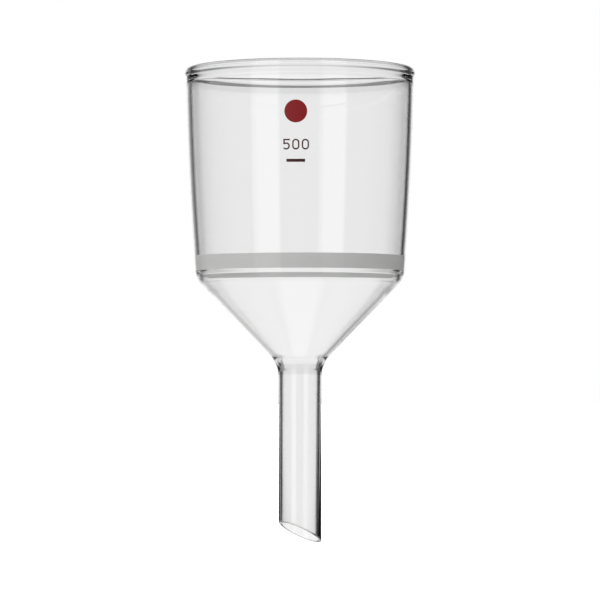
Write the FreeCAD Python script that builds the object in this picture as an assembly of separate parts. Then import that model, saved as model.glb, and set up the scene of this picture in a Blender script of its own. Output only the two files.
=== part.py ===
import FreeCAD, Part
import math
import os

from FreeCAD import Vector

# Fritted glass Buchner funnel, upright, in millimetres.
# The origin is on the axis, at the top of the straight stem, where the cone's neck fillet ends.
# +Z points up, out of the bowl's mouth. -Y is the printed front.

# Stem
STEM_R = 9.5  # outside radius
STEM_BORE_R = 7.7
STEM_MID_LENGTH = 69.2  # from the origin down the axis to the slanted cut
TIP_SLANT = 28.0  # degrees between the cut and a level plane
TIP_LOW_SIDE = 34.0  # degrees from +X towards +Y where the tip reaches lowest
TIP_ROUND = 0.6  # fire-polished edges of the cut

# Cone
CONE_HALF_ANGLE = 44.1  # degrees from the axis
NECK_FILLET_R = 15.0  # outside, between cone and stem
SHOULDER_R = 10.0  # outside, between cone and bowl
CONE_WALL = 2.2  # square to the wall, at the shoulder
NECK_WALL = 3.6  # square to the wall, at the neck
BORE_MOUTH_R = 2.0  # inside, where the cone runs into the bore

# Bowl
BOWL_BASE_R = 46.5  # outside radius at the disc's underside
BOWL_TAPER = 4.0  # how much wider the outside is just under the lip
BOWL_HEIGHT = 81.1  # from the disc's underside to the lip
BOWL_BULGE = 0.56  # how far the wall bows outwards from a straight taper
BOWL_WALL = 2.0
LIP_OVERHANG = 0.65  # how far the rolled lip stands out from the wall under it
LIP_WALL = 2.5
LIP_FLARE_HEIGHT = 5.5  # the curve from the wall out to the lip
LIP_BEAD_HEIGHT = 3.2  # the straight and rounded part of the lip

# Sintered disc, fused across the bowl's bottom
DISC_THICKNESS = 6.5

# Enamel print on the front of the bowl, heights measured from the disc's underside
MARK_CENTRE_X = -1.8
MARK_THICKNESS = 0.12
EMBLEM_R = 4.9
EMBLEM_HEIGHT = 66.9
DIGIT_TALL = 4.6
DIGIT_WIDE = 3.1
DIGIT_STROKE = 0.62
DIGIT_PITCH = 4.1
FIVE_TAIL = 0.85  # the end of the five's lower stroke, above its foot
FIVE_UPRIGHT = 2.3  # the start of the five's upright, above its foot
CAPACITY_HEIGHT = 52.7
BAR_WIDE = 8.0
BAR_TALL = 1.3
BAR_HEIGHT = 45.8


def at(radius, height):
    """A point of the profile, in the XZ plane."""
    return Vector(radius, 0, height)


def direction(degrees_from_axis):
    """The unit vector that rises at this angle from the axis, outwards."""
    angle = math.radians(degrees_from_axis)
    return at(math.sin(angle), math.cos(angle))


def line(start, end):
    return Part.LineSegment(start, end).toShape()


def arc(start, middle, end):
    return Part.Arc(start, middle, end).toShape()


def bowed(start, end, bulge):
    """An arc from start up to end whose middle stands out from the chord by bulge."""
    chord = end - start
    outwards = at(chord.z, -chord.x).normalize()
    return arc(start, (start + end) * 0.5 + outwards * bulge, end)


def meeting(point_a, way_a, point_b, way_b):
    """The point where two lines of the profile cross."""
    across = way_a.x * way_b.z - way_a.z * way_b.x
    gap = point_b - point_a
    along = (gap.x * way_b.z - gap.z * way_b.x) / across
    return point_a + way_a * along


def rounded(corner, towards_start, towards_end, tangent):
    """The arc that rounds a corner and touches both sides at the same distance from it."""
    start = corner + towards_start * tangent
    end = corner + towards_end * tangent
    half = towards_start.getAngle(towards_end) / 2
    radius = tangent * math.tan(half)
    inwards = (towards_start + towards_end).normalize()
    middle = corner + inwards * (radius / math.sin(half) - radius)
    return arc(start, middle, end)


def tangent_length(radius, angle_a, angle_b):
    """How far from a corner an arc of this radius touches its two sides."""
    return radius * math.tan(math.radians(abs(angle_a - angle_b)) / 2)


def s_bend(start, end):
    """Two arcs from start up to end that leave and arrive parallel to the axis."""
    middle = (start + end) * 0.5
    chord = end - start
    outwards = at(chord.z, -chord.x).normalize()
    sagitta = chord.Length / 4 * math.tan(math.atan(chord.x / chord.z) / 2)
    lower = arc(start, (start + middle) * 0.5 - outwards * sagitta, middle)
    upper = arc(middle, (middle + end) * 0.5 + outwards * sagitta, end)
    return [lower, upper]


def spun(edges):
    """The solid swept by a closed profile about the axis."""
    face = Part.Face(Part.Wire(Part.__sortEdges__(edges)))
    return face.revolve(Vector(0, 0, 0), Vector(0, 0, 1), 360)


BOWL_MOUTH_R = BOWL_BASE_R + BOWL_TAPER
LIP_R = BOWL_MOUTH_R + LIP_OVERHANG
WIDER_THAN_BOWL = BOWL_BASE_R + LIP_R

# The bowl's wall leans outwards: the chord of its arc, and the arc's end tangent at the bottom
CHORD_LEAN = math.degrees(math.atan2(BOWL_TAPER, BOWL_HEIGHT))
CHORD_LENGTH = math.hypot(BOWL_TAPER, BOWL_HEIGHT)
BASE_LEAN = CHORD_LEAN + math.degrees(2 * math.atan(2 * BOWL_BULGE / CHORD_LENGTH))

# The corners of the outside that the neck fillet and the shoulder round off
NECK_TANGENT = tangent_length(NECK_FILLET_R, CONE_HALF_ANGLE, 0)
NECK_CORNER = at(STEM_R, NECK_TANGENT)
SHOULDER_TANGENT = tangent_length(SHOULDER_R, CONE_HALF_ANGLE, BASE_LEAN)
SHOULDER_CORNER_R = BOWL_BASE_R - SHOULDER_TANGENT * direction(BASE_LEAN).x
CONE_RISE = (SHOULDER_CORNER_R - STEM_R) / math.tan(math.radians(CONE_HALF_ANGLE))
SHOULDER_CORNER = at(SHOULDER_CORNER_R, NECK_CORNER.z + CONE_RISE)

# Levels
SEAM_Z = SHOULDER_CORNER.z + SHOULDER_TANGENT * direction(BASE_LEAN).z
LIP_Z = SEAM_Z + BOWL_HEIGHT
BEAD_Z = LIP_Z + LIP_FLARE_HEIGHT
RIM_Z = BEAD_Z + LIP_BEAD_HEIGHT


def outer_wall():
    return bowed(at(BOWL_BASE_R, SEAM_Z), at(BOWL_MOUTH_R, LIP_Z), BOWL_BULGE)


def inner_wall():
    base = at(BOWL_BASE_R - BOWL_WALL, SEAM_Z)
    mouth = at(BOWL_MOUTH_R - BOWL_WALL, LIP_Z)
    return bowed(base, mouth, BOWL_BULGE)


def bowl():
    """The open tube with its flared and rolled lip."""
    lip_in = LIP_R - LIP_WALL
    round_z = RIM_Z - LIP_WALL / 2
    outer_flare = s_bend(at(BOWL_MOUTH_R, LIP_Z), at(LIP_R, BEAD_Z))
    rolled = [
        line(at(LIP_R, BEAD_Z), at(LIP_R, round_z)),
        arc(at(LIP_R, round_z), at(LIP_R - LIP_WALL / 2, RIM_Z), at(lip_in, round_z)),
        line(at(lip_in, round_z), at(lip_in, BEAD_Z)),
        line(at(lip_in, BEAD_Z), at(BOWL_MOUTH_R - BOWL_WALL, LIP_Z)),
    ]
    seam = line(at(BOWL_BASE_R - BOWL_WALL, SEAM_Z), at(BOWL_BASE_R, SEAM_Z))
    return spun([outer_wall(), inner_wall(), seam] + outer_flare + rolled)


def fritted_disc():
    """The porous plate: it fills the bowl's inner wall from the seam up."""
    slab = Part.makeCylinder(WIDER_THAN_BOWL, DISC_THICKNESS, at(0, SEAM_Z))
    hollow = spun([
        inner_wall(),
        line(at(0, SEAM_Z), at(BOWL_BASE_R - BOWL_WALL, SEAM_Z)),
        line(at(BOWL_MOUTH_R - BOWL_WALL, LIP_Z), at(0, LIP_Z)),
        line(at(0, LIP_Z), at(0, SEAM_Z)),
    ])
    return hollow.common(slab)


def cone_outside():
    """Shoulder, straight flank and neck fillet, from the seam down to the stem."""
    up = direction(CONE_HALF_ANGLE)
    return [
        rounded(SHOULDER_CORNER, direction(BASE_LEAN), up * -1, SHOULDER_TANGENT),
        line(SHOULDER_CORNER - up * SHOULDER_TANGENT, NECK_CORNER + up * NECK_TANGENT),
        rounded(NECK_CORNER, up, at(0, -1), NECK_TANGENT),
    ]


def cone_inside():
    """The inner flank nears the outer one towards the shoulder, and ends on the seam and bore."""
    inwards = direction(CONE_HALF_ANGLE - 90)
    low = NECK_CORNER + inwards * NECK_WALL
    high = SHOULDER_CORNER + inwards * CONE_WALL
    up = (high - low).normalize()
    base = at(BOWL_BASE_R - BOWL_WALL, SEAM_Z)
    wall_up = direction(BASE_LEAN)
    corner = meeting(base, wall_up, low, up)
    shoulder_tangent = (base - corner).Length
    mouth = meeting(at(STEM_BORE_R, 0), at(0, 1), low, up)
    mouth_tangent = BORE_MOUTH_R * math.tan(up.getAngle(at(0, 1)) / 2)
    return [
        rounded(corner, wall_up, up * -1, shoulder_tangent),
        line(corner - up * shoulder_tangent, mouth + up * mouth_tangent),
        rounded(mouth, up, at(0, -1), mouth_tangent),
        line(mouth + at(0, -mouth_tangent), at(STEM_BORE_R, 0)),
    ]


def cone():
    """The collecting cone, open to the bowl above and to the stem's bore below."""
    ends = [
        line(at(STEM_BORE_R, 0), at(STEM_R, 0)),
        line(at(BOWL_BASE_R - BOWL_WALL, SEAM_Z), at(BOWL_BASE_R, SEAM_Z)),
    ]
    return spun(cone_outside() + cone_inside() + ends)


def stem():
    """The drain tube, cut at a slant, with its cut edges fire-polished."""
    reach = STEM_R * math.tan(math.radians(TIP_SLANT))
    blank = STEM_MID_LENGTH + 2 * reach
    tube = Part.makeCylinder(STEM_R, blank, at(0, -blank))
    tube = tube.cut(Part.makeCylinder(STEM_BORE_R, blank, at(0, -blank)))
    size = 4 * (STEM_R + reach)
    waste = Part.makeBox(size, size, size, Vector(-size / 2, -size / 2, -size))
    waste.rotate(at(0, 0), Vector(0, 1, 0), TIP_SLANT)
    waste.rotate(at(0, 0), Vector(0, 0, 1), TIP_LOW_SIDE)
    waste.translate(at(0, -STEM_MID_LENGTH))
    tube = tube.cut(waste)
    halfway = -STEM_MID_LENGTH / 2
    tip_edges = [edge for edge in tube.Edges if edge.isClosed() and edge.CenterOfMass.z < halfway]
    most_round = 0.45 * (STEM_R - STEM_BORE_R)
    return tube.makeFillet(min(TIP_ROUND, most_round), tip_edges)


def print_skin():
    """The thin coat on the outside of the bowl that the enamel marks are cut from."""
    coat_base = at(BOWL_BASE_R + MARK_THICKNESS, SEAM_Z)
    coat_mouth = at(BOWL_MOUTH_R + MARK_THICKNESS, LIP_Z)
    return spun([
        outer_wall(),
        bowed(coat_base, coat_mouth, BOWL_BULGE),
        line(at(BOWL_BASE_R, SEAM_Z), coat_base),
        line(at(BOWL_MOUTH_R, LIP_Z), coat_mouth),
    ])


def block(left, right, bottom, top):
    """A bar through the bowl's front half, given in the print's own plane."""
    corner = Vector(left, -WIDER_THAN_BOWL, bottom)
    return Part.makeBox(right - left, WIDER_THAN_BOWL, top - bottom, corner)


def rod(x, z, radius):
    """A round bar through the bowl's front half."""
    front = Vector(x, -WIDER_THAN_BOWL, z)
    return Part.makeCylinder(radius, WIDER_THAN_BOWL, front, Vector(0, 1, 0))


def pill(left, bottom, wide, tall):
    """An upright bar with half-round ends."""
    r = wide / 2
    body = block(left, left + wide, bottom + r, bottom + tall - r)
    return body.fuse([rod(left + r, bottom + r, r), rod(left + r, bottom + tall - r, r)])


def zero(left, bottom):
    inner_wide = DIGIT_WIDE - 2 * DIGIT_STROKE
    inner_tall = DIGIT_TALL - 2 * DIGIT_STROKE
    hole = pill(left + DIGIT_STROKE, bottom + DIGIT_STROKE, inner_wide, inner_tall)
    return pill(left, bottom, DIGIT_WIDE, DIGIT_TALL).cut(hole)


def five(left, bottom):
    r = DIGIT_WIDE / 2
    top = bottom + DIGIT_TALL
    upright_x = left + DIGIT_STROKE / 2
    ring = rod(left + r, bottom + r, r).cut(rod(left + r, bottom + r, r - DIGIT_STROKE))
    notch = block(left - DIGIT_STROKE, left + r, bottom + FIVE_TAIL, bottom + FIVE_UPRIGHT)
    flag = block(upright_x, left + DIGIT_WIDE, top - DIGIT_STROKE, top)
    upright = block(upright_x, upright_x + DIGIT_STROKE, bottom + FIVE_UPRIGHT, top)
    return ring.cut(notch).fuse([flag, upright]).removeSplitter()


def capacity_mark():
    """The numerals five, zero, zero, side by side."""
    left = MARK_CENTRE_X - DIGIT_PITCH - DIGIT_WIDE / 2
    bottom = SEAM_Z + CAPACITY_HEIGHT - DIGIT_TALL / 2
    skin = print_skin()
    digits = [make(left + place * DIGIT_PITCH, bottom) for place, make in enumerate((five, zero, zero))]
    return Part.makeCompound([solid for digit in digits for solid in digit.common(skin).Solids])


def emblem_mark():
    """A plain round spot."""
    return rod(MARK_CENTRE_X, SEAM_Z + EMBLEM_HEIGHT, EMBLEM_R).common(print_skin())


def grade_mark():
    """A plain short bar."""
    left = MARK_CENTRE_X - BAR_WIDE / 2
    bottom = SEAM_Z + BAR_HEIGHT - BAR_TALL / 2
    return block(left, left + BAR_WIDE, bottom, bottom + BAR_TALL).common(print_skin())


NODES = {
    "bowl": bowl,
    "fritted_disc": fritted_disc,
    "cone": cone,
    "stem": stem,
    "emblem_mark": emblem_mark,
    "capacity_mark": capacity_mark,
    "grade_mark": grade_mark,
}

os.makedirs("parts", exist_ok=True)
for name, make in NODES.items():
    shape = make()
    shape.exportStep(f"parts/{name}.step")
    box = shape.BoundBox
    print(name, len(shape.Solids), "solids", shape.isValid(), round(shape.Volume, 1), "mm3",
          [round(v, 2) for v in (box.XMin, box.YMin, box.ZMin, box.XMax, box.YMax, box.ZMax)])
print("disc", round(SEAM_Z, 3), "to", round(SEAM_Z + DISC_THICKNESS, 3), "rim", round(RIM_Z, 3))
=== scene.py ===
import math

import bpy
from bpy.props import FloatProperty, FloatVectorProperty, IntProperty, PointerProperty
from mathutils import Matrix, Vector


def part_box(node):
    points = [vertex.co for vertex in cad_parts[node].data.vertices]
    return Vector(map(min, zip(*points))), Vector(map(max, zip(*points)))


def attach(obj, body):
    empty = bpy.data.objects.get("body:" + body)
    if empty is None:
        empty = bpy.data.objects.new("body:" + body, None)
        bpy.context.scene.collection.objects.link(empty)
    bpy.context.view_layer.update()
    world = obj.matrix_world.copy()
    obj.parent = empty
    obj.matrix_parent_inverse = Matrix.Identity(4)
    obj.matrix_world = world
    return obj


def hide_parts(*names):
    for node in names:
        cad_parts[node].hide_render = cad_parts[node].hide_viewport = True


bl_info = {
    "name": "Fritted Glass Funnel",
    "version": (1, 0, 0),
    "blender": (4, 5, 0),
    "location": "View3D > Sidebar > Funnel",
    "description": "Builds a fritted glass filter funnel around its packed frame, with its studio",
    "category": "Add Mesh",
}

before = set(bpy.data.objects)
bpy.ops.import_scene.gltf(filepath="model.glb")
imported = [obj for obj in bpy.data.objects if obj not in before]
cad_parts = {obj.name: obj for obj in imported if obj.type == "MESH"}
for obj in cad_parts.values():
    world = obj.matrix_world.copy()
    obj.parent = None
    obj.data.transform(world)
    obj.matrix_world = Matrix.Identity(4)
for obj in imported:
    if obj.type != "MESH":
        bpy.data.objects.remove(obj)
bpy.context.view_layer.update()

MM = 0.001
SAME = 0.001 * MM  # points closer than this are one point
MERGE = 0.002 * MM  # vertices closer than this are merged
BOWL_LOW, BOWL_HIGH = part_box("bowl")
DISC_LOW, DISC_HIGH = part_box("fritted_disc")
CONE_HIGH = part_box("cone")[1]
STEM_LOW, STEM_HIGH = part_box("stem")
SEAM_Z = BOWL_LOW.z  # where the bowl is sealed to the cone, at the disc's underside
NECK_Z = STEM_HIGH.z  # where the cone is sealed to the stem

# The bead of glass fused round the disc's lower edge: (below the seal, thicker than the plain wall), in mm
SEAL_BEAD = (
    (0.0, -0.02), (0.87, 0.229), (1.77, 0.424), (2.87, 0.139), (4.27, -0.161), (6.57, -0.116), (10.57, 0.0))
BEAD_STEP = 0.25 * MM  # how finely the cone's inside is divided where the bead lies
BEAD_REACH = 12 * MM  # how far below the seam it is divided so
BEAD_RUN = 9 * MM  # how far the bead's table runs down the straight of the cone

# How many steps each curve of the outlines has
WALL_STEPS = 36
FLARE_STEPS = 20
CROWN_STEPS = 48
SHOULDER_STEPS = 16
NECK_STEPS = 18
FOLD_STEPS = 24
MOUTH_STEPS = 10
TIP_STEPS = 6

FLARE_GAP = 0.2 * MM  # from the last point of the plain wall to the flare
EASE_GAP = 0.05 * MM  # from a seal to the point that keeps the shading square to it
ON_CUT = 0.01 * MM  # how near to the tip's cut an edge of it lies

GRAIN_RELIEF = 0.12  # the frit's relief, as a share of the grain's size
FRIT_ROUGHNESS, FRIT_SPECULAR = 0.85, 0.3
ENAMEL_SCALE, ENAMEL_RELIEF = 6000, 0.004 * MM
ENAMEL_SHADE, ENAMEL_ROUGHNESS = 0.82, 0.38

# The studio. Turn is the direction in degrees from straight behind the funnel towards +X, and rise is in
# degrees above level. A light is a product of ramps, each (angle, from, to, value at from, value at to).
LIGHTS = {
    "backdrop": (("off_back", 24, 15, 0, 1), ("rise", 8, 4.3, 0.87, 1),
                 ("rise", 20, 15, 0.28, 1), ("rise", -16, -8, 0.62, 1)),
    "low_sides": (("rise", -9, -17, 0, 1), ("turn", 30, -30, 0.42, 0.62), ("off_back", 100, 70, 0.25, 1)),
    "table": (("rise", -28, -38, 0, 1), ("off_back", 110, 70, 0.35, 0.85)),
    "nadir": (("rise", -66, -80, 0, 1.3),),
    "ceiling": (("rise", 28, 38, 0, 1), ("off_back", 75, 110, 0.8, 1.35)),
}
DIM_SIDES = (("turn", 30, -30, 0.10, 0.26),)  # the level everywhere else, dimmer towards +X
# What light that only passes through the glass meets away from the backdrop: at the sides, and below
SURROUND = (
    (("off_back", 34, 46, 0, 1.08),),
    (("rise", -16, -22, 0, 1), ("off_back", 26, 34, 0, 1.08)),
)
# Boxes with soft edges: (turn, half width, rise, half height, softness, strength)
DARK_FLAGS = ((-42.5, 13, -2, 16, 2, 0.20), (42.5, 13, -2, 16, 2, 0.05))
SOFT_BOXES = ((-144, 15, 1, 29, 1.5, 0.9), (143.6, 12.5, 1, 29, 1.5, 0.6), (-125, 40, 45, 18, 8, 0.9))
MATT_GAIN = 0.62  # how much more light the matt surfaces get
FLOOR_SIZE = 40.0
FLOOR_GLOW = 0.9
SENSOR = 36.0  # mm


# ---------------------------------------------------------------- settings

class GlassSettings(bpy.types.PropertyGroup):
    """Walls and curves of the glass. The overall sizes come from the frame."""

    wall: FloatProperty(
        name="Bowl Wall", description="Thickness of the bowl's wall",
        default=2.0 * MM, unit="LENGTH", subtype="DISTANCE")
    bulge: FloatProperty(
        name="Bowl Bulge", description="How far the wall bows out from a straight taper",
        default=0.56 * MM, unit="LENGTH", subtype="DISTANCE")
    overhang: FloatProperty(
        name="Lip Overhang", description="How far the lip stands out from the wall",
        default=0.65 * MM, unit="LENGTH", subtype="DISTANCE")
    mouth_drop: FloatProperty(
        name="Mouth Drop", description="From the rim down to where the wall stops widening",
        default=8.7 * MM, unit="LENGTH", subtype="DISTANCE")
    flare_drop: FloatProperty(
        name="Flare Drop", description="From the rim down to the middle of the outer flare",
        default=3.37 * MM, unit="LENGTH", subtype="DISTANCE")
    flare_tall: FloatProperty(
        name="Flare Height", description="Height of the outer flare",
        default=2.29 * MM, unit="LENGTH", subtype="DISTANCE")
    roll: FloatProperty(
        name="Lip Roll", description="How far the lip is rolled in past the wall's inner face",
        default=0.57 * MM, unit="LENGTH", subtype="DISTANCE")
    roll_drop: FloatProperty(
        name="Roll Drop", description="From the rim down to the middle of the inner roll's edge",
        default=5.27 * MM, unit="LENGTH", subtype="DISTANCE")
    roll_tall: FloatProperty(
        name="Roll Height", description="Height of the inner roll's edge",
        default=3.83 * MM, unit="LENGTH", subtype="DISTANCE")
    crown: FloatProperty(
        name="Lip Crown", description="Height of the rounded top of the lip",
        default=2.2 * MM, unit="LENGTH", subtype="DISTANCE")
    crown_at: FloatProperty(
        name="Crown Place", description="Where the lip is highest, from its inner to its outer side",
        default=0.39, min=0.1, max=0.9)
    cone_angle: FloatProperty(
        name="Cone Half Angle", description="Between the cone's outside and the axis",
        default=math.radians(44.1), unit="ROTATION", subtype="ANGLE")
    neck: FloatProperty(
        name="Neck Radius", description="Outside radius between cone and stem",
        default=15.0 * MM, unit="LENGTH", subtype="DISTANCE")
    cone_wall: FloatProperty(
        name="Cone Wall", description="Thickness of the cone at its shoulder",
        default=2.2 * MM, unit="LENGTH", subtype="DISTANCE")
    neck_wall: FloatProperty(
        name="Neck Wall", description="Thickness of the cone at its neck",
        default=1.9 * MM, unit="LENGTH", subtype="DISTANCE")
    bore: FloatProperty(
        name="Stem Bore", description="Radius of the hole through the stem",
        default=8.1 * MM, unit="LENGTH", subtype="DISTANCE")
    bore_mouth: FloatProperty(
        name="Bore Mouth", description="Radius of the curve from the cone into the bore",
        default=7.0 * MM, unit="LENGTH", subtype="DISTANCE")
    tip_slant: FloatProperty(
        name="Tip Slant", description="Between the tip's cut and a level plane",
        default=math.radians(28.0), unit="ROTATION", subtype="ANGLE")
    tip_side: FloatProperty(
        name="Tip Low Side", description="Direction in which the tip reaches lowest, from +X",
        default=math.radians(34.0), unit="ROTATION", subtype="ANGLE")
    tip_round: FloatProperty(
        name="Tip Rounding", description="Fire-polished edge of the tip",
        default=0.75 * MM, unit="LENGTH", subtype="DISTANCE")
    turns: IntProperty(
        name="Facets Round", description="Steps of the lathe round the axis", default=240, min=24)
    tint: FloatVectorProperty(
        name="Glass Tint", description="Colour of the clear glass",
        default=(0.955, 0.958, 0.955), size=3, subtype="COLOR")
    ior: FloatProperty(
        name="Glass IOR", description="Refractive index of borosilicate glass", default=1.473)


class DiscSettings(bpy.types.PropertyGroup):
    """The sintered disc."""

    seat: FloatProperty(
        name="Fused Depth", description="How deep the disc's edge is fused into the wall",
        default=0.25 * MM, unit="LENGTH", subtype="DISTANCE")
    sink: FloatProperty(
        name="Sink", description="How far the disc reaches past the seal, into the cone's glass",
        default=0.02 * MM, unit="LENGTH", subtype="DISTANCE")
    grain: FloatProperty(
        name="Grain", description="Size of the sintered grains",
        default=0.35 * MM, unit="LENGTH", subtype="DISTANCE")
    light: FloatVectorProperty(
        name="Frit Light", description="Colour of the raised grains",
        default=(0.95, 0.95, 0.945), size=3, subtype="COLOR")
    # Frit Dark is partly the grain's own tone and partly painted shade in the pores: the frit is darkened
    # where the grain's relief sinks.
    dark: FloatVectorProperty(
        name="Frit Dark", description="Colour of the pores between the grains",
        default=(0.84, 0.84, 0.835), size=3, subtype="COLOR")


class PrintSettings(bpy.types.PropertyGroup):
    """The fired enamel print on the front of the bowl."""

    emblem: FloatVectorProperty(
        name="Spot Colour", description="Colour of the round spot",
        default=(0.275, 0.004, 0.007), size=3, subtype="COLOR")
    line: FloatVectorProperty(
        name="Line Colour", description="Colour of the numerals and the bar",
        default=(0.065, 0.011, 0.014), size=3, subtype="COLOR")


class StudioSettings(bpy.types.PropertyGroup):
    """Camera, floor and light."""

    distance: FloatProperty(
        name="Camera Distance", description="From the axis to the camera",
        default=1.316, unit="LENGTH", subtype="DISTANCE")
    eye: FloatProperty(
        name="Eye Height", description="Height of the camera above the origin",
        default=11.73 * MM, unit="LENGTH", subtype="DISTANCE")
    pitch: FloatProperty(
        name="Camera Pitch", description="How far the camera looks up",
        default=math.radians(0.987), unit="ROTATION", subtype="ANGLE")
    lens: FloatProperty(
        name="Lens", description="Focal length", default=177.7, unit="CAMERA")
    drop: FloatProperty(
        name="Floor Drop", description="From the stem's tip down to the floor",
        default=0.30, unit="LENGTH", subtype="DISTANCE")


# ---------------------------------------------------------------- outline helpers

def way(angle):
    """The unit vector at this angle from the axis, as (radius, height)."""
    return Vector((math.sin(angle), math.cos(angle)))


def arc(start, middle, end, steps):
    """Points of the arc through three points, with both ends."""
    a, b, c = start, middle, end
    d = 2 * (a.x * (b.y - c.y) + b.x * (c.y - a.y) + c.x * (a.y - b.y))
    aa, bb, cc = a.length_squared, b.length_squared, c.length_squared
    centre = Vector((
        (aa * (b.y - c.y) + bb * (c.y - a.y) + cc * (a.y - b.y)) / d,
        (aa * (c.x - b.x) + bb * (a.x - c.x) + cc * (b.x - a.x)) / d,
    ))
    first = math.atan2(a.y - centre.y, a.x - centre.x)
    last = math.atan2(c.y - centre.y, c.x - centre.x)
    sweep = (last - first + math.pi) % math.tau - math.pi
    radius = (a - centre).length
    angles = [first + sweep * i / steps for i in range(steps + 1)]
    points = [centre + radius * Vector((math.cos(t), math.sin(t))) for t in angles]
    points[0], points[-1] = start, end
    return points


def bowed(start, end, bulge, steps):
    """An arc from start up to end whose middle stands out from the chord by bulge."""
    chord = end - start
    outwards = Vector((chord.y, -chord.x)).normalized()
    return arc(start, (start + end) / 2 + outwards * bulge, end, steps)


def meeting(point_a, way_a, point_b, way_b):
    """The point where two lines cross."""
    across = way_a.x * way_b.y - way_a.y * way_b.x
    gap = point_b - point_a
    return point_a + way_a * ((gap.x * way_b.y - gap.y * way_b.x) / across)


def rounded(corner, towards_start, towards_end, tangent, steps):
    """The arc that rounds a corner and touches both its sides this far from it."""
    half = towards_start.angle(towards_end) / 2
    radius = tangent * math.tan(half)
    inwards = (towards_start + towards_end).normalized()
    middle = corner + inwards * (radius / math.sin(half) - radius)
    return arc(corner + towards_start * tangent, middle, corner + towards_end * tangent, steps)


def joined(*runs):
    """One outline from several runs of points, without doubled points."""
    points = []
    for point in (p for run in runs for p in run):
        if not points or (point - points[-1]).length > SAME:
            points.append(point)
    return points


def eased(points, start=True, end=True):
    """Adds a point close to each end of a run, so that the shading meets a seal squarely."""
    points = list(points)
    if start:
        points.insert(1, points[0] + (points[1] - points[0]).normalized() * EASE_GAP)
    if end:
        points.insert(-1, points[-1] + (points[-2] - points[-1]).normalized() * EASE_GAP)
    return points


# ---------------------------------------------------------------- mesh helpers

def lathe(name, outline, turns):
    """Draws a closed outline edge by edge from one corner, and spins it about the axis."""
    bpy.ops.object.select_all(action="DESELECT")
    first = outline[0]
    bpy.ops.mesh.primitive_plane_add(size=MM, location=(first.x, 0, first.y))
    piece = bpy.context.object
    piece.name = piece.data.name = name
    bpy.ops.object.mode_set(mode="EDIT")
    bpy.ops.mesh.select_mode(type="VERT")
    bpy.ops.mesh.merge(type="CENTER")
    for here, there in zip(outline, outline[1:] + outline[:1]):
        step = there - here
        bpy.ops.mesh.extrude_vertices_move(TRANSFORM_OT_translate={"value": (step.x, 0, step.y)})
    bpy.ops.mesh.select_all(action="SELECT")
    bpy.ops.mesh.remove_doubles(threshold=MERGE)
    bpy.ops.mesh.spin(steps=turns, angle=math.tau, center=(0, 0, 0), axis=(0, 0, 1))
    bpy.ops.mesh.select_all(action="SELECT")
    bpy.ops.mesh.remove_doubles(threshold=MERGE)
    bpy.ops.mesh.delete_loose(use_verts=True, use_edges=True, use_faces=False)
    bpy.ops.mesh.select_all(action="SELECT")
    bpy.ops.mesh.normals_make_consistent(inside=False)
    bpy.ops.object.mode_set(mode="OBJECT")
    return piece


def place(piece):
    """Puts the piece's place and turn into its mesh, so that its object sits at the origin."""
    bpy.ops.object.select_all(action="DESELECT")
    piece.select_set(True)
    bpy.context.view_layer.objects.active = piece
    bpy.ops.object.transform_apply(location=True, rotation=True, scale=True)


def smooth(piece, angle=math.radians(30)):
    """Smooth shading, except across edges sharper than this."""
    bpy.ops.object.select_all(action="DESELECT")
    piece.select_set(True)
    bpy.context.view_layer.objects.active = piece
    bpy.ops.object.shade_smooth_by_angle(angle=angle)


def seal_faces(piece, levels, material):
    """Gives the flat rings where a piece is fused to its neighbour a material of their own."""
    piece.data.materials.append(material)
    for face in piece.data.polygons:
        for level in levels:
            if all(abs(piece.data.vertices[v].co.z - level) < SAME for v in face.vertices):
                face.material_index = len(piece.data.materials) - 1


# ---------------------------------------------------------------- the glass outlines

def bowl_levels():
    """The lip's radius, the wall's radius at the mouth, and the height where the wall stops widening."""
    glass = bpy.context.scene.funnel_glass
    return BOWL_HIGH.x, BOWL_HIGH.x - glass.overhang, BOWL_HIGH.z - glass.mouth_drop


def wall_points(offset):
    """The bowl's wall from the seam up to the mouth, this far inside its outer face."""
    glass = bpy.context.scene.funnel_glass
    _, mouth_r, mouth_z = bowl_levels()
    base = Vector((CONE_HIGH.x - offset, SEAM_Z))
    mouth = Vector((mouth_r - offset, mouth_z))
    return bowed(base, mouth, glass.bulge, WALL_STEPS)


def wall_radius(run, height):
    """The radius of a run of wall points at this height, and above its end the end's radius."""
    for low, high in zip(run, run[1:]):
        if height <= high.y:
            return low.x + (high.x - low.x) * (height - low.y) / (high.y - low.y)
    return run[-1].x


def stepped(run, middle, tall, step):
    """The run of wall points up to a smooth sideways step, and the step."""
    low = middle - tall / 2
    points = [point for point in run if point.y < low - FLARE_GAP]
    for i in range(FLARE_STEPS + 1):
        t = i / FLARE_STEPS
        height = low + tall * t
        points.append(Vector((wall_radius(run, height) + step * t * t * (3 - 2 * t), height)))
    return points


def base_lean():
    """How far the wall leans outwards at the seam."""
    glass = bpy.context.scene.funnel_glass
    _, mouth_r, mouth_z = bowl_levels()
    rise, run = mouth_z - SEAM_Z, mouth_r - CONE_HIGH.x
    return math.atan2(run, rise) + 2 * math.atan(2 * glass.bulge / math.hypot(run, rise))


def bowl_outline():
    """The bowl's closed section: up the outside, over the lip and down the inside."""
    glass = bpy.context.scene.funnel_glass
    top = BOWL_HIGH.z
    outer = stepped(wall_points(0), top - glass.flare_drop, glass.flare_tall, glass.overhang)
    inner = stepped(wall_points(glass.wall), top - glass.roll_drop, glass.roll_tall, -glass.roll)
    lip_out, lip_in = outer[-1].x, inner[-1].x
    crown_r = lip_in + (lip_out - lip_in) * glass.crown_at
    crown = []
    for i in range(CROWN_STEPS + 1):
        angle = math.pi * i / CROWN_STEPS
        reach = (lip_out if i < CROWN_STEPS / 2 else lip_in) - crown_r
        crown.append(Vector((
            crown_r + reach * abs(math.cos(angle)), top - glass.crown * (1 - math.sin(angle)))))
    return joined(eased(outer, end=False), crown, eased(inner, end=False)[::-1])


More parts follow.
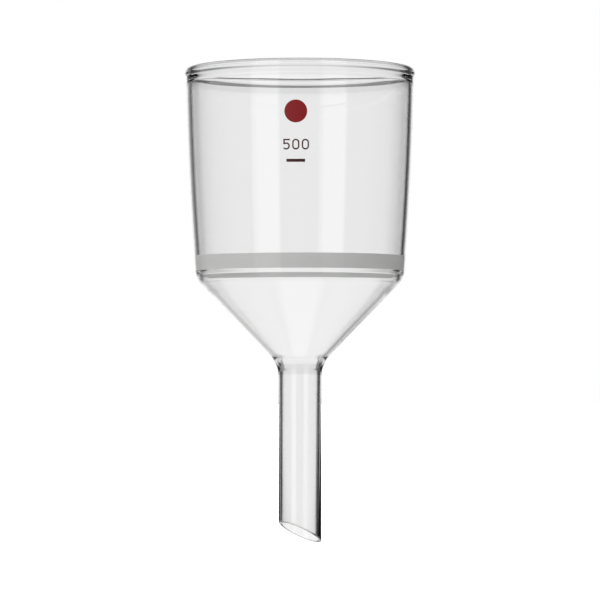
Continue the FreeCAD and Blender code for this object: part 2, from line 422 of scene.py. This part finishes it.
def bead_thickness(depth):
    """The seal bead's extra thickness this far below the seal, through its table without overshoot."""
    if depth >= SEAL_BEAD[-1][0] * MM:
        return 0.0
    gaps = [(b[0] - a[0], b[1] - a[1]) for a, b in zip(SEAL_BEAD, SEAL_BEAD[1:])]
    rates = [rise / run for run, rise in gaps]
    slopes = [rates[0]]
    for here, there in zip(rates, rates[1:]):
        slopes.append(2 * here * there / (here + there) if here * there > 0 else 0.0)
    slopes.append(0.0)
    at = max(depth / MM, 0.0)
    for i, (run, rise) in enumerate(gaps):
        if at <= SEAL_BEAD[i + 1][0]:
            t = (at - SEAL_BEAD[i][0]) / run
            here, there = SEAL_BEAD[i][1], SEAL_BEAD[i + 1][1]
            value = (here * (1 + 2 * t) * (1 - t) ** 2 + slopes[i] * run * t * (1 - t) ** 2
                     + there * t * t * (3 - 2 * t) + slopes[i + 1] * run * t * t * (t - 1))
            return value * MM
    return 0.0


def beaded(run):
    """The cone's inner run from the seal down, in short steps, with the seal bead laid on it."""
    fine = [run[0]]
    for here, there in zip(run, run[1:]):
        near = there.y > SEAM_Z - BEAD_REACH
        parts = max(1, round((there - here).length / BEAD_STEP)) if near else 1
        fine += [here.lerp(there, (i + 1) / parts) for i in range(parts)]
    points = []
    for i, point in enumerate(fine):
        along = (fine[min(i + 1, len(fine) - 1)] - fine[max(i - 1, 0)]).normalized()
        inwards = Vector((along.y, -along.x))
        points.append(point + inwards * bead_thickness(SEAM_Z - point.y))
    points[0] = Vector((points[0].x, SEAM_Z))
    return points


def cone_corners():
    """The corners of the cone's outside that the neck fillet and the shoulder round off."""
    glass = bpy.context.scene.funnel_glass
    neck_tangent = glass.neck * math.tan(glass.cone_angle / 2)
    neck = Vector((STEM_HIGH.x, NECK_Z + neck_tangent))
    lean = base_lean()
    base = Vector((CONE_HIGH.x, SEAM_Z))
    shoulder = meeting(base, way(lean), neck, way(glass.cone_angle))
    return neck, neck_tangent, shoulder, (base - shoulder).length


def cone_outline():
    """The cone's closed section: down the outside from the seam, and up the inside from the neck."""
    glass = bpy.context.scene.funnel_glass
    neck, neck_tangent, shoulder, shoulder_tangent = cone_corners()
    up, wall_up, down = way(glass.cone_angle), way(base_lean()), Vector((0, -1))
    outer = joined(
        rounded(shoulder, wall_up, -up, shoulder_tangent, SHOULDER_STEPS),
        rounded(neck, up, down, neck_tangent, NECK_STEPS),
    )
    inwards = Vector((-up.y, up.x))
    low, high = neck + inwards * glass.neck_wall, shoulder + inwards * glass.cone_wall
    inner_up = (high - low).normalized()
    base = Vector((CONE_HIGH.x - glass.wall, SEAM_Z))
    corner = meeting(base, wall_up, low, inner_up)
    mouth = meeting(Vector((glass.bore, NECK_Z)), Vector((0, 1)), low, inner_up)
    mouth_tangent = glass.bore_mouth * math.tan(inner_up.angle(Vector((0, 1))) / 2)
    fold = rounded(corner, wall_up, -inner_up, (base - corner).length, FOLD_STEPS)
    inner = joined(
        beaded([*fold, fold[-1] - inner_up * BEAD_RUN]),
        rounded(mouth, inner_up, down, mouth_tangent, MOUTH_STEPS),
        [Vector((glass.bore, NECK_Z))],
    )
    return joined(eased(outer), eased(inner)[::-1])


def stem_outline():
    """A plain tube, longer than the stem. Its end is cut to the slant afterwards."""
    glass = bpy.context.scene.funnel_glass
    low = STEM_LOW.z - STEM_HIGH.x
    outer = eased([Vector((STEM_HIGH.x, NECK_Z)), Vector((STEM_HIGH.x, low))], end=False)
    inner = eased([Vector((glass.bore, NECK_Z)), Vector((glass.bore, low))], end=False)
    return joined(outer, inner[::-1])


def disc_outline():
    """Half the disc's section. Its edge is sunk into the wall, which leans outwards."""
    disc = bpy.context.scene.funnel_disc
    glass = bpy.context.scene.funnel_glass
    low_r = CONE_HIGH.x - glass.wall + disc.seat
    high_r = DISC_HIGH.x + disc.seat
    low, high = DISC_LOW.z - disc.sink, DISC_HIGH.z
    return [
        Vector((0, low)), Vector((low_r / 3, low)), Vector((low_r * 2 / 3, low)), Vector((low_r, low)),
        Vector((high_r, high)),
        Vector((high_r * 2 / 3, high)), Vector((high_r / 3, high)), Vector((0, high)),
    ]


# ---------------------------------------------------------------- materials

def new_material(name):
    """A material with nodes, its tree and its Principled shader."""
    material = bpy.data.materials.new(name)
    material.use_nodes = True
    tree = material.node_tree
    return material, tree, tree.nodes["Principled BSDF"]


def add_node(tree, kind, **settings):
    """A node with its settings. A name that starts with in_ sets the socket of that name."""
    node = tree.nodes.new(kind)
    for key, value in settings.items():
        if key.startswith("in_"):
            node.inputs[key[3:].replace("_", " ")].default_value = value
        else:
            setattr(node, key, value)
    return node


def add_group(tree, group, **values):
    """A group placed in a tree with values of its own."""
    node = add_node(tree, "ShaderNodeGroup", node_tree=group)
    for key, value in values.items():
        node.inputs[key.replace("_", " ")].default_value = value
    return node


def new_group(name, sockets_in, sockets_out):
    """An empty shader group. Returns it with its input and output nodes, or with None if it exists."""
    if name in bpy.data.node_groups:
        return bpy.data.node_groups[name], None, None
    group = bpy.data.node_groups.new(name, "ShaderNodeTree")
    for label, value in sockets_in.items():
        socket = group.interface.new_socket(label, in_out="INPUT", socket_type="NodeSocketFloat")
        socket.default_value = value
    for label, kind in sockets_out.items():
        group.interface.new_socket(label, in_out="OUTPUT", socket_type=kind)
    return group, group.nodes.new("NodeGroupInput"), group.nodes.new("NodeGroupOutput")


def grain_group():
    """Fine grain of sintered or fired powder: a mask of the grains and a normal that follows them."""
    group, given, result = new_group(
        "powder_grain", {"Scale": 2500, "Height": 0.02 * MM},
        {"Mask": "NodeSocketFloat", "Normal": "NodeSocketVector"})
    if given is None:
        return group
    links = group.links
    coord = add_node(group, "ShaderNodeTexCoord")
    cells = add_node(group, "ShaderNodeTexVoronoi", feature="SMOOTH_F1", in_Smoothness=0.5)
    cloud = add_node(group, "ShaderNodeTexNoise", in_Detail=3, in_Roughness=0.6)
    mix = add_node(group, "ShaderNodeMath", operation="SUBTRACT", use_clamp=True)
    bump = add_node(group, "ShaderNodeBump", in_Strength=1)
    links.new(coord.outputs["Object"], cells.inputs["Vector"])
    links.new(coord.outputs["Object"], cloud.inputs["Vector"])
    links.new(given.outputs["Scale"], cells.inputs["Scale"])
    links.new(given.outputs["Scale"], cloud.inputs["Scale"])
    links.new(cloud.outputs["Fac"], mix.inputs[0])
    links.new(cells.outputs["Distance"], mix.inputs[1])
    links.new(mix.outputs[0], bump.inputs["Height"])
    links.new(given.outputs["Height"], bump.inputs["Distance"])
    links.new(mix.outputs[0], result.inputs["Mask"])
    links.new(bump.outputs["Normal"], result.inputs["Normal"])
    return group


def draw_group():
    """Faint lines along hand-drawn glass, as a normal."""
    group, given, result = new_group(
        "draw_lines", {"Across": 260, "Along": 9, "Height": 0.0006 * MM},
        {"Normal": "NodeSocketVector"})
    if given is None:
        return group
    links = group.links
    coord = add_node(group, "ShaderNodeTexCoord")
    stretch = add_node(group, "ShaderNodeCombineXYZ")
    scaled = add_node(group, "ShaderNodeVectorMath", operation="MULTIPLY")
    cloud = add_node(group, "ShaderNodeTexNoise", in_Scale=1, in_Detail=2, in_Roughness=0.5)
    bump = add_node(group, "ShaderNodeBump", in_Strength=1)
    links.new(given.outputs["Across"], stretch.inputs["X"])
    links.new(given.outputs["Across"], stretch.inputs["Y"])
    links.new(given.outputs["Along"], stretch.inputs["Z"])
    links.new(coord.outputs["Object"], scaled.inputs[0])
    links.new(stretch.outputs[0], scaled.inputs[1])
    links.new(scaled.outputs[0], cloud.inputs["Vector"])
    links.new(cloud.outputs["Fac"], bump.inputs["Height"])
    links.new(given.outputs["Height"], bump.inputs["Distance"])
    links.new(bump.outputs["Normal"], result.inputs["Normal"])
    return group


def clear_glass():
    """Borosilicate glass with the faint draw lines of hand-worked tube."""
    if "borosilicate" in bpy.data.materials:
        return bpy.data.materials["borosilicate"]
    glass = bpy.context.scene.funnel_glass
    material, tree, shader = new_material("borosilicate")
    shader.inputs["Base Color"].default_value = (*glass.tint, 1)
    shader.inputs["Transmission Weight"].default_value = 1
    shader.inputs["Roughness"].default_value = 0
    shader.inputs["IOR"].default_value = glass.ior
    lines = add_group(tree, draw_group())
    tree.links.new(lines.outputs["Normal"], shader.inputs["Normal"])
    return material


def fused_seal():
    """Nothing to see: the glass on both sides of a seal is one glass."""
    if "fused_seal" in bpy.data.materials:
        return bpy.data.materials["fused_seal"]
    material = bpy.data.materials.new("fused_seal")
    material.use_nodes = True
    nodes = material.node_tree.nodes
    nodes.remove(nodes["Principled BSDF"])
    clear = nodes.new("ShaderNodeBsdfTransparent")
    material.node_tree.links.new(clear.outputs[0], nodes["Material Output"].inputs["Surface"])
    return material


def mixed_colour(tree, factor, dark, light):
    """A colour between two others, by a mask."""
    mix = add_node(tree, "ShaderNodeMix", data_type="RGBA")
    tree.links.new(factor, mix.inputs["Factor"])
    mix.inputs["A"].default_value = (*dark, 1)
    mix.inputs["B"].default_value = (*light, 1)
    return mix.outputs["Result"]


def sintered_glass():
    """Chalky white powdered glass with the grain's own tone, and painted shade in the pores between its
    grains.
    """
    disc = bpy.context.scene.funnel_disc
    material, tree, shader = new_material("sintered_frit")
    grain = add_group(tree, grain_group(), Scale=1 / disc.grain, Height=GRAIN_RELIEF * disc.grain)
    # Painted shade: the colour darkens towards the pore colour where the grain's relief sinks, along with
    # the grain's own tone.
    colour = mixed_colour(tree, grain.outputs["Mask"], disc.dark, disc.light)
    tree.links.new(colour, shader.inputs["Base Color"])
    tree.links.new(grain.outputs["Normal"], shader.inputs["Normal"])
    shader.inputs["Roughness"].default_value = FRIT_ROUGHNESS
    shader.inputs["Specular IOR Level"].default_value = FRIT_SPECULAR
    return material


def enamel(name, colour):
    """Fired enamel: an even colour with the fine grain of the print."""
    material, tree, shader = new_material(name)
    grain = add_group(tree, grain_group(), Scale=ENAMEL_SCALE, Height=ENAMEL_RELIEF)
    shade = mixed_colour(tree, grain.outputs["Mask"], [c * ENAMEL_SHADE for c in colour], colour)
    tree.links.new(shade, shader.inputs["Base Color"])
    tree.links.new(grain.outputs["Normal"], shader.inputs["Normal"])
    shader.inputs["Roughness"].default_value = ENAMEL_ROUGHNESS
    return material


# ---------------------------------------------------------------- operators

class FUNNEL_OT_bowl(bpy.types.Operator):
    """Turn the bowl with its flared lip"""

    bl_idname = "funnel.bowl"
    bl_label = "Bowl"

    def execute(self, context):
        piece = lathe("bowl_glass", bowl_outline(), context.scene.funnel_glass.turns)
        place(piece)
        piece.data.materials.append(clear_glass())
        seal_faces(piece, [SEAM_Z], fused_seal())
        smooth(piece)
        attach(piece, "root")
        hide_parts("bowl")
        return {"FINISHED"}


class FUNNEL_OT_cone(bpy.types.Operator):
    """Turn the collecting cone"""

    bl_idname = "funnel.cone"
    bl_label = "Cone"

    def execute(self, context):
        piece = lathe("cone_glass", cone_outline(), context.scene.funnel_glass.turns)
        place(piece)
        piece.data.materials.append(clear_glass())
        seal_faces(piece, [SEAM_Z, NECK_Z], fused_seal())
        smooth(piece)
        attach(piece, "root")
        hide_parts("cone")
        return {"FINISHED"}


class FUNNEL_OT_stem(bpy.types.Operator):
    """Draw the stem, cut its tip at a slant and fire-polish the cut"""

    bl_idname = "funnel.stem"
    bl_label = "Stem"

    def execute(self, context):
        glass = context.scene.funnel_glass
        piece = lathe("stem_glass", stem_outline(), glass.turns)
        place(piece)
        reach = STEM_HIGH.x * math.tan(glass.tip_slant)
        cut = Vector((0, 0, STEM_LOW.z + reach))
        low_way = Vector((math.cos(glass.tip_side), math.sin(glass.tip_side), 0))
        normal = Vector((0, 0, math.cos(glass.tip_slant))) + low_way * math.sin(glass.tip_slant)
        bpy.ops.object.mode_set(mode="EDIT")
        bpy.ops.mesh.select_mode(type="EDGE")
        bpy.ops.mesh.select_all(action="SELECT")
        bpy.ops.mesh.bisect(plane_co=cut, plane_no=normal, clear_inner=True)
        bpy.ops.mesh.bridge_edge_loops()
        bpy.ops.object.mode_set(mode="OBJECT")
        for edge in piece.data.edges:
            ends = [piece.data.vertices[v].co for v in edge.vertices]
            on_cut = all(abs((end - cut).dot(normal)) < ON_CUT for end in ends)
            level = abs(ends[0].xy.length - ends[1].xy.length) < ON_CUT
            edge.select = on_cut and level
        bpy.ops.object.mode_set(mode="EDIT")
        bpy.ops.mesh.bevel(offset=glass.tip_round, segments=TIP_STEPS, affect="EDGES")
        bpy.ops.mesh.select_all(action="SELECT")
        bpy.ops.mesh.normals_make_consistent(inside=False)
        bpy.ops.object.mode_set(mode="OBJECT")
        piece.data.materials.append(clear_glass())
        seal_faces(piece, [NECK_Z], fused_seal())
        smooth(piece)
        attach(piece, "root")
        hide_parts("stem")
        return {"FINISHED"}


class FUNNEL_OT_disc(bpy.types.Operator):
    """Fuse the sintered disc across the bowl's bottom"""

    bl_idname = "funnel.disc"
    bl_label = "Fritted Disc"

    def execute(self, context):
        piece = lathe("sintered_disc", disc_outline(), context.scene.funnel_glass.turns)
        place(piece)
        piece.data.materials.append(sintered_glass())
        smooth(piece)
        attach(piece, "root")
        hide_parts("fritted_disc")
        return {"FINISHED"}


class FUNNEL_OT_print(bpy.types.Operator):
    """Give the spot, the numerals and the bar their fired enamel"""

    bl_idname = "funnel.print"
    bl_label = "Print"

    def execute(self, context):
        colours = context.scene.funnel_print
        spot, line = enamel("spot_enamel", colours.emblem), enamel("line_enamel", colours.line)
        for node, material in (("emblem_mark", spot), ("capacity_mark", line), ("grade_mark", line)):
            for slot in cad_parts[node].material_slots:
                slot.material = material
        return {"FINISHED"}


class FUNNEL_OT_stage(bpy.types.Operator):
    """Set up the floor, the soft studio light and the camera"""

    bl_idname = "funnel.stage"
    bl_label = "Studio"

    def execute(self, context):
        studio = context.scene.funnel_studio
        bpy.ops.object.select_all(action="DESELECT")
        bpy.ops.mesh.primitive_plane_add(size=FLOOR_SIZE, location=(0, 0, STEM_LOW.z - studio.drop))
        floor = context.object
        floor.name = "studio_floor"
        material, tree, shader = new_material("studio_floor")
        shader.inputs["Base Color"].default_value = (0.9, 0.9, 0.9, 1)
        shader.inputs["Emission Color"].default_value = (1, 1, 1, 1)
        shader.inputs["Emission Strength"].default_value = FLOOR_GLOW
        floor.data.materials.append(material)
        floor.visible_glossy = floor.visible_transmission = floor.visible_diffuse = False
        studio_light()
        bpy.ops.object.camera_add(
            location=(0, -studio.distance, studio.eye), rotation=(math.pi / 2 + studio.pitch, 0, 0))
        camera = context.object
        camera.name = "studio_camera"
        camera.data.lens = studio.lens
        camera.data.sensor_width = SENSOR
        camera.data.clip_start = 0.05
        context.scene.camera = camera
        context.scene.view_settings.view_transform = "Standard"
        return {"FINISHED"}


def studio_light():
    """The world: a lit backdrop, table and ceiling, dim sides, tall soft boxes and dark flags."""
    world = bpy.data.worlds.new("studio")
    bpy.context.scene.world = world
    world.use_nodes = True
    nodes, links = world.node_tree.nodes, world.node_tree.links
    coord = nodes.new("ShaderNodeTexCoord")
    parts = nodes.new("ShaderNodeSeparateXYZ")
    links.new(coord.outputs["Generated"], parts.inputs[0])
    path = nodes.new("ShaderNodeLightPath")

    def calc(operation, *values):
        """The result of a maths node."""
        node = nodes.new("ShaderNodeMath")
        node.operation = operation
        for socket, value in zip(node.inputs, values):
            if hasattr(value, "is_linked"):
                links.new(value, socket)
            else:
                socket.default_value = value
        return node.outputs[0]

    def fold(operation, values):
        """Several values joined by one operation, from the first on."""
        total, *others = values
        for value in others:
            total = calc(operation, total, value)
        return total

    def ramp(value, zero, one, low=0.0, high=1.0):
        """From low at zero to high at one, smoothly."""
        node = nodes.new("ShaderNodeMapRange")
        node.interpolation_type = "SMOOTHSTEP"
        links.new(value, node.inputs["Value"])
        node.inputs["From Min"].default_value = min(zero, one)
        node.inputs["From Max"].default_value = max(zero, one)
        node.inputs["To Min"].default_value = low if zero < one else high
        node.inputs["To Max"].default_value = high if zero < one else low
        return node.outputs["Result"]

    x, y, z = parts.outputs
    turn = calc("DEGREES", calc("ARCTAN2", x, y))
    rise = calc("DEGREES", calc("ARCSINE", z))
    angles = {"turn": turn, "rise": rise, "off_back": calc("ABSOLUTE", turn)}

    def light(ramps):
        """A light that is the product of its ramps."""
        return fold("MULTIPLY", [ramp(angles[angle], *limits) for angle, *limits in ramps])

    def box(turn_at, half_wide, rise_at, half_tall, soft, strength):
        """A box of light with soft edges."""
        off = calc("ABSOLUTE", calc("SUBTRACT", turn, turn_at))
        off = calc("MINIMUM", off, calc("SUBTRACT", 360.0, off))
        up = calc("ABSOLUTE", calc("SUBTRACT", rise, rise_at))
        wide = ramp(off, half_wide + soft, half_wide - soft)
        tall = ramp(up, half_tall + soft, half_tall - soft, 0, strength)
        return calc("MULTIPLY", wide, tall)

    base = fold("SUBTRACT", [light(DIM_SIDES), *(box(*flag) for flag in DARK_FLAGS)])
    total = fold("MAXIMUM", [base, *(light(ramps) for ramps in LIGHTS.values())])
    total = fold("ADD", [total, *(box(*soft_box) for soft_box in SOFT_BOXES)])

    # Light that has only passed through the glass, without a reflection or a matt bounce
    shiny = calc("MINIMUM", path.outputs["Glossy Depth"], 1.0)
    matt = calc("MINIMUM", path.outputs["Diffuse Depth"], 1.0)
    straight = fold("MULTIPLY", [
        calc("SUBTRACT", 1.0, shiny), path.outputs["Is Transmission Ray"], calc("SUBTRACT", 1.0, matt)])
    around = fold("MAXIMUM", [light(ramps) for ramps in SURROUND])
    total = calc("MAXIMUM", total, calc("MULTIPLY", around, straight))
    total = calc("MULTIPLY", total, calc("MULTIPLY_ADD", matt, MATT_GAIN, 1.0))

    shown = nodes.new("ShaderNodeMix")
    shown.data_type = "FLOAT"
    links.new(path.outputs["Is Camera Ray"], shown.inputs["Factor"])
    links.new(total, shown.inputs["A"])
    shown.inputs["B"].default_value = 1.0
    background = nodes["Background"]
    background.inputs["Color"].default_value = (1, 1, 1, 1)
    links.new(shown.outputs["Result"], background.inputs["Strength"])


class FUNNEL_PT_panel(bpy.types.Panel):
    """The funnel's pieces and settings"""

    bl_idname = "FUNNEL_PT_panel"
    bl_label = "Fritted Funnel"
    bl_space_type = "VIEW_3D"
    bl_region_type = "UI"
    bl_category = "Funnel"

    def draw(self, context):
        for operator in OPERATORS:
            self.layout.operator(operator.bl_idname)
        for name, settings in SETTINGS.items():
            box = self.layout.box()
            for key in settings.__annotations__:
                box.prop(getattr(context.scene, name), key)


SETTINGS = {
    "funnel_glass": GlassSettings,
    "funnel_disc": DiscSettings,
    "funnel_print": PrintSettings,
    "funnel_studio": StudioSettings,
}
OPERATORS = (FUNNEL_OT_bowl, FUNNEL_OT_cone, FUNNEL_OT_stem, FUNNEL_OT_disc, FUNNEL_OT_print,
             FUNNEL_OT_stage)
CLASSES = (*SETTINGS.values(), *OPERATORS, FUNNEL_PT_panel)


def register():
    for cls in CLASSES:
        bpy.utils.register_class(cls)
    for name, settings in SETTINGS.items():
        setattr(bpy.types.Scene, name, PointerProperty(type=settings))


def unregister():
    for name in SETTINGS:
        delattr(bpy.types.Scene, name)
    for cls in reversed(CLASSES):
        bpy.utils.unregister_class(cls)


def main():
    register()
    bpy.ops.funnel.stage()
    bpy.ops.funnel.bowl()
    bpy.ops.funnel.cone()
    bpy.ops.funnel.stem()
    bpy.ops.funnel.disc()
    bpy.ops.funnel.print()


if __name__ == "__main__":
    main()
